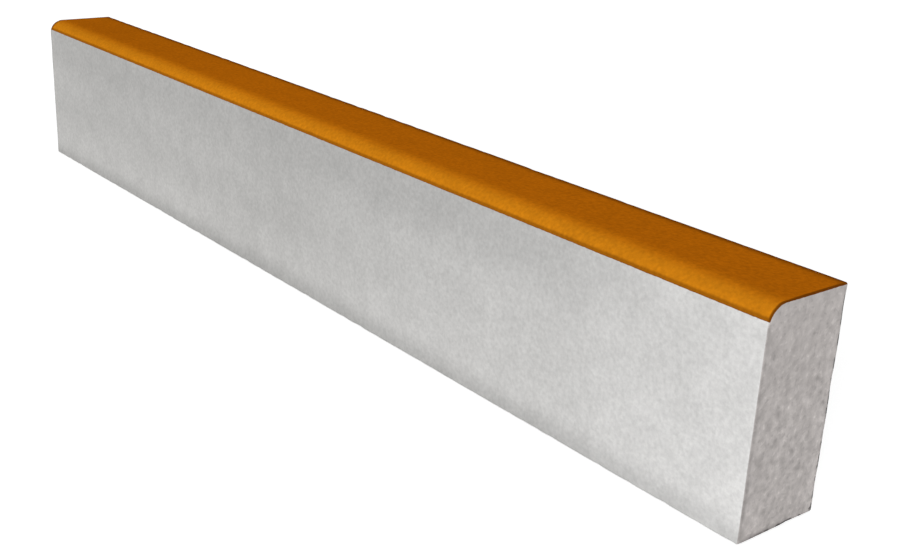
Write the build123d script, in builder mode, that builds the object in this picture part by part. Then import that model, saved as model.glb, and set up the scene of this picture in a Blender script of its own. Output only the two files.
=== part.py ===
"""Concrete kerb stone: one straight cast unit with a rounded nose along its upper front edge.

Frame: X runs along the kerb, the front (carriageway) face looks towards -Y, Z is up, and the
origin is at the middle of the bedding face. Lengths are in millimetres.
"""

import os

from build123d import *

# Driving dimensions of the unit
kerb_length = 1000.0
kerb_width = 70.0
kerb_height = 150.0

# Rounding of the upper front edge, which runs smoothly into the front face and the top
nose_radius = 14.0

# Slight rounding that the mould leaves on every other edge
arris_radius = 1.5

# The kerb: its section in the YZ plane, run out to both ends of the unit
with BuildPart() as kerb_stone:
    with BuildSketch(Plane.YZ) as section:
        Rectangle(kerb_width, kerb_height, align=(Align.CENTER, Align.MIN))
        upper_corners = section.vertices().group_by(Axis.Y)[-1]
        front_corner = upper_corners.sort_by(Axis.X)[0]
        fillet(front_corner, nose_radius)
    extrude(amount=kerb_length / 2, both=True)

    # The nose has no edge along it, only its two borders with the faces that it runs into, so
    # those stay as they are and every other edge is eased.
    nose = kerb_stone.faces().filter_by(GeomType.CYLINDER)
    nose_borders = nose.edges().filter_by(Axis.X)
    fillet(kerb_stone.edges() - nose_borders, arris_radius)

kerb_stone.part.label = "kerb_stone"

os.makedirs("parts", exist_ok=True)
export_step(kerb_stone.part, "parts/kerb_stone.step")
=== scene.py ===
import math

import bpy
import numpy as np
from mathutils import Matrix, Vector


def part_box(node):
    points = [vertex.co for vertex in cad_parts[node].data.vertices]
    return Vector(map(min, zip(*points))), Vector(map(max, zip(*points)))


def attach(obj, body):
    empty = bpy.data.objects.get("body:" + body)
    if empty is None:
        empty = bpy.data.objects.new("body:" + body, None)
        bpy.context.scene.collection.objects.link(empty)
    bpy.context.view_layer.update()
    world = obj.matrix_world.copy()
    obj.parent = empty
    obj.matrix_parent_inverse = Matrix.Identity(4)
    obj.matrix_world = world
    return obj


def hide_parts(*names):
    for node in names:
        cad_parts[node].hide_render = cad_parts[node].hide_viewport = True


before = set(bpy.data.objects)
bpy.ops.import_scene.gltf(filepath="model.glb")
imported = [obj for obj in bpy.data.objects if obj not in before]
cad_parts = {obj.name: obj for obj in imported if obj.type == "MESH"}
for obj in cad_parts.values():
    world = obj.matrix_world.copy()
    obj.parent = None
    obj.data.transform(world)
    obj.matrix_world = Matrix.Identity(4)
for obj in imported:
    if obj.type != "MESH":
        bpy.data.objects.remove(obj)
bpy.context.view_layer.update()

# Sizes of the cast unit, read off its CAD node. Lengths in this script are in metres, but those
# whose names end in MM are in millimetres.
NODE = "kerb_stone"
FLAT = 1e-5  # how far a point may lie off a face and still count as on it
MM_PER_METRE = 1000
LOW, HIGH = (np.array(corner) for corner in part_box(NODE))
LENGTH, WIDTH, HEIGHT = HIGH - LOW
POINTS = np.array([vertex.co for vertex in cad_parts[NODE].data.vertices])
FRONT_POINTS = POINTS[POINTS[:, 1] < LOW[1] + FLAT]
ARRIS_RADIUS = HIGH[0] - FRONT_POINTS[:, 0].max()
NOSE_RADIUS = HIGH[2] - FRONT_POINTS[:, 2].max()
NOSE_CENTRE = np.array([LOW[1] + NOSE_RADIUS, HIGH[2] - NOSE_RADIUS])  # y and z of the nose's axis

# Mesh of the unit
GRID_STEP = 0.003
ARRIS_LINES = 3  # grid lines on each half of a rounded arris
NOSE_LINES = 8  # grid lines on each half of the nose
NOSE_LINES_FROM = 1.5 * ARRIS_RADIUS  # closer to an edge than this, the lines of the arris do
WAVE_DEPTH = 0.00022  # gentle unevenness that the mould leaves on the faces
WAVE_LENGTH = 0.085
WEAR_DEPTH = 0.00055  # small losses along the arrises
WEAR_LENGTH = 0.016
WEAR_REACH = 0.0045
WAVE_SPREAD = (0.6, 1.6)  # shortest and longest wave, against the length given

# Orange finish
FINISH_DROP = 0.009  # depth of its lower border below the top
BORDER_TURN = math.asin(1 - FINISH_DROP / NOSE_RADIUS)  # how far round the nose that border lies
BACK_SHARE = 0.17  # its dark line is broader at the back and at the left end, by one over these shares
LEFT_SHARE = 0.3
BACK_LIFT = 0.0006  # at the back the line is also paler, as it would be this much further in

# Colours, as linear RGB
GREY = (0.487, 0.482, 0.471)
# Painted light: the pale grey that the fair faces turn to towards the right end, as under a pool of light
# there
PAINTED_LIT_GREY = (0.748, 0.742, 0.732)
END_GREY = (0.582, 0.545, 0.529)
# Painted light and shade: one orange, as a lit copy on the nose, a half-lit one at the crown and a shaded
# one on the top
LIT_NOSE_COLOUR = (0.62, 0.212, 0.007)
HALF_LIT_CROWN_COLOUR = (0.62, 0.183, 0.0045)
SHADED_TOP_COLOUR = (0.548, 0.149, 0.003)
RIM_COLOUR = (0.13, 0.035, 0.002)

# Sizes of the patterns in the colours
CLOUD_SIZE = 0.09
BLOTCH_SIZE = 0.02
SAND_SIZE = 0.0026
RAG_SIZE = 0.004
DRIFT_SIZE = 0.12
GRIT_SIZE = 0.0056
PATCH_SIZE = 0.018
FLECK_SIZE = 0.0034
BREAK_SIZE = 0.0065
SAND_RELIEF = 0.0005
RELIEF_STRENGTH = 0.15

# Changes of tone. Each is a span and the values at its two ends. These spans are of noise, which
# runs from 0 to 1.
CLOUDS = (0.3, 0.7), (0.975, 1.025)
BLOTCHES = (0.3, 0.7), (0.965, 1.035)
FACE_GRAIN = (0.25, 0.75), (0.9, 1.1)
FINISH_GRAIN = (0.25, 0.75), (0.86, 1.14)
RAG_MM = (0.0, 1.0), (-0.3, 0.3)
DRIFT = (0.0, 1.0), (-0.08, 0.08)
GRIT_SPAN = (0.25, 0.75)
PATCH_SPAN = (0.3, 0.7)
PALE_FLECKS = (0.66, 0.76), (1.0, 1.12)
DARK_FLECKS = (0.24, 0.34), (0.88, 1.0)
BREAKS = (0.46, 0.54), (0.05, 0.85)

# These are of shares of the length, from the middle to the right.
# Painted light: these make the fair faces paler towards the right end, as a pool of light there
PAINTED_LIGHT_POOL = (-0.03, 0.36), (0.0, 0.37)
GLARE = (0.325, 0.525), (0.0, 0.60)
# Painted shade at the foot, a painted lighter band above it and painted shade under the nose, changing
# along the length
FOOT_SHADE_REACH = (-0.35, -0.05), (0.115, 0.145)
CREST_LIGHT_GAIN = (-0.1, 0.4), (0.085, 0.0)
BROW_SHADE_LOSS = (0.0, 0.2), (0.08, 0.14)
BROW_SHADE_END = (0.26, 0.45), (0.0, 0.11)
# Painted shade on the finish, darker towards the left end
SHADE_TO_LEFT = (-0.5, -0.1), (0.925, 1.0)

# These are of shares of the height, from the foot up.
# Painted shade at the foot and under the nose, and a painted lighter band above the foot
FOOT_SHADE_TONES = (0.79, 1.0)
CREST_LIGHT_FADE = (0.17, 0.40), (1.0, 0.0)
BROW_SHADE_RISE = (0.56, 0.86), (0.0, 1.0)
GRIT_DARK = (0.5, 0.9), (0.76, 0.83)
GRIT_PALE = (0.5, 0.9), (1.24, 1.17)
PATCH_DARK = (0.3, 0.8), (0.945, 0.985)
PATCH_PALE = (0.3, 0.8), (1.055, 1.015)
BAND_DEPTH = (0.35, 0.75), (0.28, 0.12)

# These are of shares of the width, from the middle to the back.
BAND_FRONT = (0.1, 0.4), (1.0, 0.0)
LINE_BACK = (-0.4, 0.0), (0.15, 1.0)
BACK_TONES = (0.28, 0.45), (1.0, 1.08)

# These are of millimetres from an edge of the unit or a border of the finish.
BAND_EDGE_MM = (0.8, 5.0), (1.0, 0.0)
LINE_EDGE_MM = (1.4, 2.8), (1.0, 0.0)
BARE_MM = (-10.0, -5.0), (1.0, 0.0)
LAP_MM = (-1.25, -0.95), (0.0, 1.0)
LAP_LINE_MM = (-0.7, 0.1), (0.7, 0.0)
FOOT_LINE_MM = (0.4, 2.5), (0.55, 0.0)
HEM_LINE_MM = (0.7, 2.0), (0.85, 0.0)
HEM_TONES_MM = (0.4, 2.6), (0.82, 1.0)
# Where the painted light on the finish turns from the lit nose to the crown and then to the shaded top
HALF_LIT_CROWN_MM = (7.0, 16.0), (0.0, 1.0)
SHADED_TOP_MM = (14.0, 24.0), (0.0, 1.0)

# The rest are of metres to the right, of the normal's share along the unit and of the finish's cover.
RIGHT_HALF = (0.0, LENGTH / 4), (0.0, 1.0)
END_TURN = (0.6, 0.8), (0.0, 1.0)
ROUGHNESS = (0.0, 1.0), (0.92, 0.8)

# Camera, at the photograph's viewing angle
EYE = (0.8896, -0.5745, 0.3964)
AIM = (0.2249, -0.035, 0.077)
ROLL = math.radians(2.729)
LENS_MM = 51.122
SENSOR_MM = 36.0

# Light
AMBIENT = 0.40
KEY_FROM = (0.436, -0.841, 0.32)  # direction from the kerb towards the main lamp
KEY_STRENGTH = 1.95
KEY_SPREAD = math.radians(27)
FILL_FROM = (-0.5, 0.85, 0.13)
FILL_STRENGTH = 0.75
FILL_SPREAD = math.radians(60)
FLOOR_SIZE = 30.0
FLOOR_COLOUR = (0.8, 0.8, 0.8)
FLOOR_GLOW = 0.59

# Sockets of the mix node for colours: the share and the two colours, and the mixed colour
MIX_INPUTS = (0, 6, 7)
MIX_OUTPUT = 2


def joined(*stretches):
    """Grid lines from stretches that follow on from one another."""
    return np.concatenate([stretch[:-1] for stretch in stretches[:-1]] + [stretches[-1]])


def run(start, end, step):
    """Evenly spaced grid lines, at most a step apart."""
    return np.linspace(start, end, max(2, math.ceil((end - start) / step) + 1))


def rounding(radius, count):
    """Distances from a square edge of grid lines that spread evenly over half of its rounding."""
    return radius * (1 - np.tan(np.linspace(math.pi / 4, 0, count + 1)))


def grid_lines():
    """The grid lines along X, Y and Z, closer together where an edge is rounded."""
    arris = rounding(ARRIS_RADIUS, ARRIS_LINES)
    nose = rounding(NOSE_RADIUS, NOSE_LINES)
    nose = np.concatenate([arris, nose[nose > NOSE_LINES_FROM]])
    lows = [low + near for low, near in zip(LOW, (arris, nose, arris))]
    highs = [high - near[::-1] for high, near in zip(HIGH, (arris, arris, nose))]
    return [joined(low, run(low[-1], high[0], GRID_STEP), high) for low, high in zip(lows, highs)]


def box_grid(x, y, z):
    """Points and four-sided faces of a closed box whose faces carry the grid lines."""
    shape = (len(x), len(y), len(z))
    skin = np.ones(shape, bool)
    skin[1:-1, 1:-1, 1:-1] = False
    number = np.full(shape, -1)
    number[skin] = np.arange(skin.sum())
    places = np.stack(np.meshgrid(x, y, z, indexing="ij"), axis=-1)[skin]

    faces = []
    for axis in range(3):
        for end in (0, -1):
            sheet = np.take(number, end, axis=axis)
            corners = [sheet[:-1, :-1], sheet[1:, :-1], sheet[1:, 1:], sheet[:-1, 1:]]
            outward = (end == -1) == (axis != 1)
            corners = corners if outward else corners[::-1]
            faces.append(np.stack([c.ravel() for c in corners], axis=1))
    return places, np.concatenate(faces)


def from_nose(places):
    """Points' places in the section as seen from the nose's axis, and which lie in its quarter."""
    away = places[:, 1:] - NOSE_CENTRE
    return away, (away[:, 0] < 0) & (away[:, 1] > 0)


def nosed(places):
    """Moves points of the sharp box in from its upper front edge, so that it turns into the nose."""
    moved = places.copy()
    away, at_nose = from_nose(places)
    away = away[at_nose]
    share = np.abs(away).max(axis=1) / np.linalg.norm(away, axis=1)
    moved[at_nose, 1:] = NOSE_CENTRE + away * share[:, None]
    return moved


def rounded(places):
    """Moves points of the sharp-edged unit on to the rounded one, and gives their normals too."""
    core = np.clip(places, LOW + ARRIS_RADIUS, HIGH - ARRIS_RADIUS)
    away, at_nose = from_nose(places)
    far = np.linalg.norm(away, axis=1, keepdims=True)
    on_core = NOSE_CENTRE + away * np.minimum(1, (NOSE_RADIUS - ARRIS_RADIUS) / np.maximum(far, FLAT))
    core[at_nose, 1:] = on_core[at_nose]
    normals = places - core
    normals /= np.linalg.norm(normals, axis=1, keepdims=True)
    return core + ARRIS_RADIUS * normals, normals


def unevenness(points, wave_length, seed, waves=24):
    """A smooth random field between 0 and 1: plane waves of about one length in random directions."""
    random = np.random.default_rng(seed)
    directions = random.normal(size=(waves, 3))
    directions /= np.linalg.norm(directions, axis=1, keepdims=True)
    lengths = wave_length * random.uniform(*WAVE_SPREAD, waves)
    phases = random.uniform(0, 2 * np.pi, waves)
    total = np.sin(points @ (2 * np.pi * directions / lengths[:, None]).T + phases).sum(axis=1)

    # The sum's standard deviation is the root of half the number of waves; this makes it a quarter.
    return np.clip(0.5 + total / np.sqrt(8 * waves), 0, 1)


def edge_distance(places):
    """Distance of points of the sharp-edged unit from its nearest edge."""
    x_gap, y_gap, z_gap = np.minimum(places - LOW, HIGH - places).T
    away, at_nose = from_nose(places)
    depth = np.where(at_nose, NOSE_RADIUS - np.linalg.norm(away, axis=1), np.minimum(y_gap, z_gap))
    upper_front = (places[:, 1] < 0) & (places[:, 2] > HEIGHT / 2)
    long_edge = np.where(upper_front, np.inf, np.maximum(y_gap, z_gap))
    return np.minimum(long_edge, np.maximum(x_gap, depth))


def finish_distances(places):
    """How far points of the sharp-edged unit lie from the borders of the orange finish.

    The first distance is from all of its borders, negative outside the finish. The second is from
    its lower border, over the nose and the top, and the third from its back and end borders.
    """
    x, y, z = places.T
    away, at_nose = from_nose(places)
    turn = np.where(at_nose, np.arctan2(away[:, 1], -away[:, 0]), np.where(away[:, 1] > 0, np.pi / 2, 0))
    beyond = np.where(at_nose, 0, np.where(away[:, 1] > 0, away[:, 0], away[:, 1]))
    from_foot = NOSE_RADIUS * (turn - BORDER_TURN) + beyond
    from_back = BACK_SHARE * (HIGH[1] - y) + BACK_LIFT
    from_hem = np.minimum.reduce([HIGH[0] - x, from_back, LEFT_SHARE * (x - LOW[0])])
    below = np.where(at_nose, NOSE_RADIUS - np.linalg.norm(away, axis=1), HIGH[2] - z)
    inside = np.minimum(from_foot, np.where(below > FLAT, -below, from_hem))
    return inside, from_foot, from_hem


def kerb_mesh():
    """The cast unit as a fine closed mesh, with the attributes that its material reads."""
    places, faces = box_grid(*grid_lines())
    places = nosed(places)
    points, normals = rounded(places)
    edge = edge_distance(places)

    # The powers keep the losses few and close to the arrises.
    wear = np.clip(1 - edge / WEAR_REACH, 0, 1) ** 2 * unevenness(points, WEAR_LENGTH, seed=3) ** 3
    depth = WAVE_DEPTH * unevenness(points, WAVE_LENGTH, seed=1) + WEAR_DEPTH * wear
    points = points - normals * depth[:, None]

    mesh = bpy.data.meshes.new("kerb_cast")
    mesh.from_pydata(points.tolist(), [], faces.tolist())
    mesh.polygons.foreach_set("use_smooth", np.ones(len(faces), bool))
    inside, from_foot, from_hem = finish_distances(places)
    values = {
        "edge_mm": MM_PER_METRE * edge,
        "finish_mm": MM_PER_METRE * inside,
        "foot_mm": MM_PER_METRE * from_foot,
        "hem_mm": MM_PER_METRE * from_hem,
        "end_share": np.abs(normals[:, 0]),
    }
    for name, value in values.items():
        attribute = mesh.attributes.new(name, "FLOAT", "POINT")
        attribute.data.foreach_set("value", value.astype(np.float32))
    mesh.update()
    return mesh


class Tree:
    """Short calls for building a node tree."""

    def __init__(self, owner):
        owner.use_nodes = True
        self.tree = owner.node_tree
        self.tree.nodes.clear()

    def add(self, kind, inputs=None, **settings):
        """A node with the given settings; inputs are numbers, colours or other nodes' outputs."""
        made = self.tree.nodes.new(kind)
        for name, value in settings.items():
            setattr(made, name, value)
        for key, value in (inputs or {}).items():
            if isinstance(value, bpy.types.NodeSocket):
                self.tree.links.new(value, made.inputs[key])
            else:
                made.inputs[key].default_value = value
        return made

    def attribute(self, name):
        return self.add("ShaderNodeAttribute", attribute_name=name).outputs["Fac"]

    def noise(self, place, size, detail=2.0, roughness=0.5):
        """Noise with features of about the given size, from 0 to 1."""
        made = self.add(
            "ShaderNodeTexNoise",
            {"Vector": place, "Scale": 1 / size, "Detail": detail, "Roughness": roughness},
        )
        return made.outputs["Fac"]

    def remap(self, value, span, ends, smooth=False):
        """Runs from one end to the other as the value crosses the span, and stays there beyond it."""
        inputs = {"Value": value}
        inputs["From Min"], inputs["From Max"] = span
        inputs["To Min"], inputs["To Max"] = ends
        course = "SMOOTHSTEP" if smooth else "LINEAR"
        return self.add("ShaderNodeMapRange", inputs, interpolation_type=course).outputs["Result"]

    def math(self, operation, first, second):
        return self.add("ShaderNodeMath", {0: first, 1: second}, operation=operation).outputs[0]

    def product(self, *values):
        total = values[0]
        for value in values[1:]:
            total = self.math("MULTIPLY", total, value)
        return total

    def blend(self, share, first, second):
        """Mixes two colours."""
        made = self.add("ShaderNodeMix", data_type="RGBA")
        for index, value in zip(MIX_INPUTS, (share, first, second)):
            if isinstance(value, bpy.types.NodeSocket):
                self.tree.links.new(value, made.inputs[index])
            else:
                made.inputs[index].default_value = (*value, 1.0)
        return made.outputs[MIX_OUTPUT]

    def shade(self, colour, strength):
        """Darkens or lightens a colour by a factor."""
        made = self.add("ShaderNodeVectorMath", operation="SCALE")
        if isinstance(colour, bpy.types.NodeSocket):
            self.tree.links.new(colour, made.inputs[0])
        else:
            made.inputs[0].default_value = colour
        self.tree.links.new(strength, made.inputs["Scale"])
        return made.outputs[0]


def face_colour(tree, place, slow, sand):
    """Fair faces: paler towards the right end as painted light, with painted shade at the foot and under
    the nose.
    """
    axes = tree.add("ShaderNodeSeparateXYZ", {0: place}).outputs
    drift = tree.remap(tree.noise(place, DRIFT_SIZE), *DRIFT)
    along = tree.math("ADD", tree.math("DIVIDE", axes["X"], LENGTH), drift)
    up = tree.math("DIVIDE", axes["Z"], HEIGHT)
    # Painted light: paler towards the right end, as a pool of light there
    light_pool = tree.remap(along, *PAINTED_LIGHT_POOL, smooth=True)
    painted_light = tree.math("ADD", light_pool, tree.remap(along, *GLARE, smooth=True))
    # Painted shade at the foot
    foot = tree.remap(up, (0.0, tree.remap(along, *FOOT_SHADE_REACH)), FOOT_SHADE_TONES, smooth=True)
    # A painted lighter band above the foot
    lit_crest = tree.product(tree.remap(up, *CREST_LIGHT_FADE, smooth=True), tree.remap(along, *CREST_LIGHT_GAIN))
    lit_crest = tree.math("ADD", lit_crest, 1.0)
    # Painted shade under the nose
    brow_loss = tree.remap(along, *BROW_SHADE_LOSS, smooth=True)
    brow_loss = tree.math("SUBTRACT", brow_loss, tree.remap(along, *BROW_SHADE_END, smooth=True))
    brow_shade = tree.product(tree.remap(up, *BROW_SHADE_RISE, smooth=True), brow_loss)
    brow_shade = tree.math("SUBTRACT", 1.0, brow_shade)
    grain = tree.remap(sand, *FACE_GRAIN)
    return tree.shade(tree.blend(painted_light, GREY, PAINTED_LIT_GREY), tree.product(slow, grain, foot, lit_crest, brow_shade))


def end_colour(tree, place, slow, edge, inside):
    """Coarser, flecked ends, dark at the front arris; the right one has a broken line at its back."""
    axes = tree.add("ShaderNodeSeparateXYZ", {0: place}).outputs
    across = tree.math("DIVIDE", axes["Y"], WIDTH)
    up = tree.math("DIVIDE", axes["Z"], HEIGHT)
    grit = tree.noise(place, GRIT_SIZE, detail=3.0, roughness=0.6)
    grain = tree.remap(grit, GRIT_SPAN, (tree.remap(up, *GRIT_DARK), tree.remap(up, *GRIT_PALE)))
    patch = tree.noise(place, PATCH_SIZE, detail=1.0)
    patches = tree.remap(patch, PATCH_SPAN, (tree.remap(up, *PATCH_DARK), tree.remap(up, *PATCH_PALE)))
    fleck = tree.noise(place, FLECK_SIZE, detail=0.0)
    pale_fleck = tree.remap(fleck, *PALE_FLECKS, smooth=True)
    dark_fleck = tree.remap(fleck, *DARK_FLECKS, smooth=True)

    bare = tree.remap(inside, *BARE_MM, smooth=True)
    front = tree.remap(across, *BAND_FRONT, smooth=True)
    band_depth = tree.remap(up, *BAND_DEPTH, smooth=True)
    band = tree.product(bare, front, band_depth, tree.remap(edge, *BAND_EDGE_MM, smooth=True))
    right = tree.remap(axes["X"], *RIGHT_HALF)
    broken = tree.remap(tree.noise(place, BREAK_SIZE, detail=1.0), *BREAKS, smooth=True)
    back = tree.remap(across, *LINE_BACK, smooth=True)
    line = tree.product(bare, right, broken, back, tree.remap(edge, *LINE_EDGE_MM, smooth=True))
    # A darker band along the front arris and a broken dark line along the right end's back arris
    edge_darkening = tree.product(tree.math("SUBTRACT", 1.0, band), tree.math("SUBTRACT", 1.0, line))
    pale_back = tree.remap(across, *BACK_TONES, smooth=True)
    return tree.shade(END_GREY, tree.product(slow, patches, grain, pale_fleck, dark_fleck, pale_back, edge_darkening))


def finish_colour(tree, place, slow, sand, ragged, inside):
    """Orange finish with painted light and shade, lit on the nose, darker on the top and to the left, with
    a dark line along its borders.
    """
    along = tree.math("DIVIDE", tree.add("ShaderNodeSeparateXYZ", {0: place}).outputs["X"], LENGTH)
    # Painted shade: darker towards the left end
    left_shade = tree.remap(along, *SHADE_TO_LEFT, smooth=True)
    from_foot = tree.math("ADD", tree.attribute("foot_mm"), ragged)
    from_hem = tree.math("ADD", tree.attribute("hem_mm"), ragged)
    # Painted light and shade across the nose and top: the lit nose colour turns to the crown's, then to the
    # shaded top's
    crown_shading = tree.remap(from_foot, *HALF_LIT_CROWN_MM, smooth=True)
    top = tree.remap(from_foot, *SHADED_TOP_MM, smooth=True)
    plain = tree.blend(top, tree.blend(crown_shading, LIT_NOSE_COLOUR, HALF_LIT_CROWN_COLOUR), SHADED_TOP_COLOUR)
    grain = tree.remap(sand, *FINISH_GRAIN)
    hem = tree.remap(from_hem, *HEM_TONES_MM, smooth=True)
    orange = tree.shade(plain, tree.product(slow, grain, hem, left_shade))
    foot_line = tree.remap(from_foot, *FOOT_LINE_MM, smooth=True)
    hem_line = tree.remap(from_hem, *HEM_LINE_MM, smooth=True)
    lap_line = tree.remap(inside, *LAP_LINE_MM, smooth=True)
    line = tree.math("MAXIMUM", foot_line, tree.math("MAXIMUM", hem_line, lap_line))
    return tree.blend(line, orange, RIM_COLOUR)


def kerb_material():
    """Grey cast concrete with an orange finish on its top and nose."""
    material = bpy.data.materials.new("orange_topped_concrete")
    tree = Tree(material)
    place = tree.add("ShaderNodeTexCoord").outputs["Object"]
    edge = tree.attribute("edge_mm")
    end = tree.remap(tree.attribute("end_share"), *END_TURN)
    clouds = tree.remap(tree.noise(place, CLOUD_SIZE, detail=3.0), *CLOUDS)
    blotches = tree.remap(tree.noise(place, BLOTCH_SIZE), *BLOTCHES)
    slow = tree.math("MULTIPLY", clouds, blotches)
    sand = tree.noise(place, SAND_SIZE)

    # The finish laps a little over its borders.
    ragged = tree.remap(tree.noise(place, RAG_SIZE), *RAG_MM)
    inside = tree.math("ADD", tree.attribute("finish_mm"), ragged)
    covered = tree.remap(inside, *LAP_MM, smooth=True)

    face = face_colour(tree, place, slow, sand)
    concrete = tree.blend(end, face, end_colour(tree, place, slow, edge, inside))
    colour = tree.blend(covered, concrete, finish_colour(tree, place, slow, sand, ragged, inside))
    relief = {"Strength": RELIEF_STRENGTH, "Distance": SAND_RELIEF, "Height": sand}
    bump = tree.add("ShaderNodeBump", relief)
    surface = tree.add(
        "ShaderNodeBsdfPrincipled",
        {
            "Base Color": colour,
            "Roughness": tree.remap(covered, *ROUGHNESS),
            "Specular IOR Level": 0.0,
            "Normal": bump.outputs["Normal"],
        },
    )
    tree.add("ShaderNodeOutputMaterial", {"Surface": surface.outputs[0]})
    return material


def seen_directly(tree):
    """1 for rays from the camera, a gloss or a clear surface, and 0 for the light on the object."""
    path = tree.add("ShaderNodeLightPath").outputs
    first = tree.math("MAXIMUM", path["Is Camera Ray"], path["Is Glossy Ray"])
    return tree.math("MAXIMUM", first, path["Is Transmission Ray"])


def make_kerb():
    mesh = kerb_mesh()
    mesh.materials.append(kerb_material())
    kerb = bpy.data.objects.new("kerb_cast", mesh)
    bpy.context.scene.collection.objects.link(kerb)
    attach(kerb, "root")
    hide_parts(NODE)


def make_floor():
    """A plain pale floor that shows white where no shadow falls."""
    half = FLOOR_SIZE / 2
    level = LOW[2]
    mesh = bpy.data.meshes.new("floor")
    corners = [(-half, -half, level), (half, -half, level), (half, half, level), (-half, half, level)]
    mesh.from_pydata(corners, [], [(0, 1, 2, 3)])
    material = bpy.data.materials.new("pale_floor")
    tree = Tree(material)
    matte = tree.add("ShaderNodeBsdfDiffuse", {"Color": (*FLOOR_COLOUR, 1.0)})
    glow = tree.add(
        "ShaderNodeEmission",
        {"Strength": tree.math("MULTIPLY", seen_directly(tree), FLOOR_GLOW)},
    )
    both = tree.add("ShaderNodeAddShader", {0: matte.outputs[0], 1: glow.outputs[0]})
    tree.add("ShaderNodeOutputMaterial", {"Surface": both.outputs[0]})
    mesh.materials.append(material)
    floor = bpy.data.objects.new("floor", mesh)
    bpy.context.scene.collection.objects.link(floor)


def make_world():
    """Even light from all round, in front of a white background."""
    world = bpy.data.worlds.new("studio")
    bpy.context.scene.world = world
    tree = Tree(world)
    even = tree.add("ShaderNodeBackground", {"Color": (1.0, 1.0, 1.0, 1.0), "Strength": AMBIENT})
    white = tree.add("ShaderNodeBackground", {"Color": (1.0, 1.0, 1.0, 1.0), "Strength": 1.0})
    choice = {0: seen_directly(tree), 1: even.outputs[0], 2: white.outputs[0]}
    mixed = tree.add("ShaderNodeMixShader", choice)
    tree.add("ShaderNodeOutputWorld", {"Surface": mixed.outputs[0]})


def make_lamp(name, towards, strength, spread):
    """A distant soft lamp, which lights the whole length alike."""
    data = bpy.data.lights.new(name, "SUN")
    data.energy = strength
    data.angle = spread
    lamp = bpy.data.objects.new(name, data)
    lamp.rotation_euler = Vector(towards).to_track_quat("Z", "Y").to_euler()
    bpy.context.scene.collection.objects.link(lamp)


def make_camera():
    data = bpy.data.cameras.new("camera")
    data.sensor_width = SENSOR_MM
    data.lens = LENS_MM
    camera = bpy.data.objects.new("camera", data)
    turn = (Vector(AIM) - Vector(EYE)).to_track_quat("-Z", "Y").to_matrix().to_4x4()
    camera.matrix_world = Matrix.Translation(EYE) @ turn @ Matrix.Rotation(ROLL, 4, "Z")
    bpy.context.scene.collection.objects.link(camera)
    bpy.context.scene.camera = camera


make_kerb()
make_floor()
make_world()
make_lamp("key", KEY_FROM, KEY_STRENGTH, KEY_SPREAD)
make_lamp("fill", FILL_FROM, FILL_STRENGTH, FILL_SPREAD)
make_camera()
bpy.context.scene.view_settings.view_transform = "Standard"
